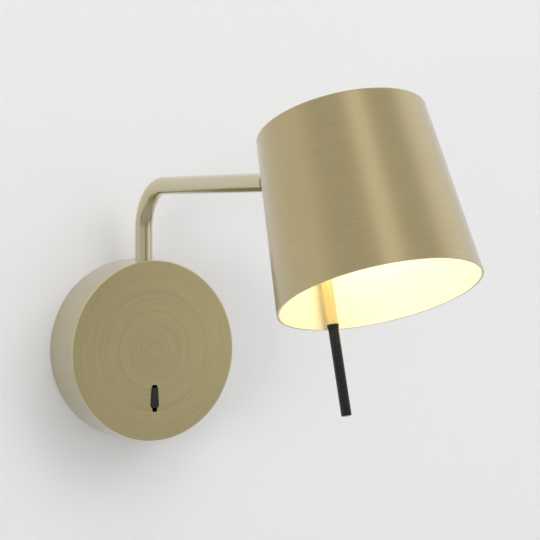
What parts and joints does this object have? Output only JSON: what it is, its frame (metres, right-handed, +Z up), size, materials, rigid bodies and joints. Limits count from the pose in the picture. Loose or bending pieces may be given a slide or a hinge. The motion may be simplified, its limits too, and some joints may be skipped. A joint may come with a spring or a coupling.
{
  "type": "wall reading lamp",
  "caption": "Bedside wall reading lamp: round wall canopy with a rocker switch, swivelling bent tube arm, tilting tapered metal shade with an LED engine, and an aiming rod with a grip.",
  "frame": {"origin": "centre of the round canopy on the wall's surface, midway between the two wall screws", "axes": "+Y into the wall, -Y out into the room; +Z up; +X to the right as seen from the room"},
  "size_m": [0.125, 0.3622, 0.2269],
  "materials": {
    "gold_shell": "fine turned satin, brass-toned",
    "satin_brass": "satin brushed",
    "bare_brass": "as turned",
    "tinned_brass": "tinned",
    "zinc_steel": "zinc plated",
    "spring_steel": "dark oiled",
    "dark_screw": "burnished dark",
    "earth_brass": "bright",
    "cast_aluminium": "as cast",
    "sink_aluminium": "bare extruded",
    "board_white": "white solder mask",
    "chip_yellow": "resin",
    "opal": "opal, frosted",
    "black_satin": "satin moulded",
    "black_switch": "satin moulded",
    "driver_case": "moulded",
    "terminal_plastic": "moulded",
    "grommet_rubber": "moulded",
    "hinge_nylon": "moulded",
    "lead_sheath": "smooth sheath"
  },
  "bodies": {
    "base": {"wall_bracket": "zinc_steel", "cable_grommet": "grommet_rubber", "canopy_shell": "gold_shell", "swivel_block_studs": "zinc_steel", "switch_studs": "zinc_steel", "canopy_screws": "dark_screw", "led_driver": "driver_case", "driver_screws": "zinc_steel", "driver_lead": "lead_sheath", "terminal_block": "terminal_plastic", "terminal_screws": "earth_brass", "terminal_fixings": "zinc_steel", "earth_screw": "earth_brass", "swivel_block": "cast_aluminium", "swivel_block_nuts": "zinc_steel", "swivel_stop_pin": "spring_steel", "switch_body": "black_switch", "switch_pin": "spring_steel", "switch_nuts": "zinc_steel", "switch_terminals": "tinned_brass"},
    "arm": {"swivel_thrust_washer": "zinc_steel", "swivel_stop_washer": "zinc_steel", "swivel_spring_washer": "spring_steel", "swivel_nut": "zinc_steel", "arm_tube": "satin_brass", "base_nipple": "bare_brass", "head_nipple": "bare_brass", "arm_lead": "lead_sheath", "hinge_fork": "satin_brass", "fork_lock_screw": "dark_screw", "hinge_screw": "dark_screw", "hinge_washers": "hinge_nylon"},
    "head": {"head_link": "satin_brass", "outer_saddle_washer": "satin_brass", "inner_saddle_washer": "satin_brass", "rod_block": "satin_brass", "handle_rod": "satin_brass", "handle_grip": "black_satin", "shade_shell": "gold_shell", "heat_sink": "sink_aluminium", "engine_screws": "zinc_steel", "led_board": "board_white", "led_chips": "chip_yellow", "diffuser": "opal", "head_lead": "lead_sheath"},
    "paddle": {"switch_paddle": "black_switch"}
  },
  "joints": [
    {"name": "arm_swivel", "type": "hinge", "parent": "base", "child": "arm", "pos_m": [0, -0.0196, 0], "axis": [0, 0, 1], "range_deg": [-75, 75]},
    {"name": "head_tilt", "type": "hinge", "parent": "arm", "child": "head", "pos_m": [0, -0.2116, 0.1138], "axis": [-1, 0, 0], "range_deg": [-102.3, 57.7]},
    {"name": "switch_rock", "type": "hinge", "parent": "base", "child": "paddle", "pos_m": [0, -0.0295, -0.0319], "axis": [1, 0, 0], "range_deg": [-8, 0]}
  ]
}
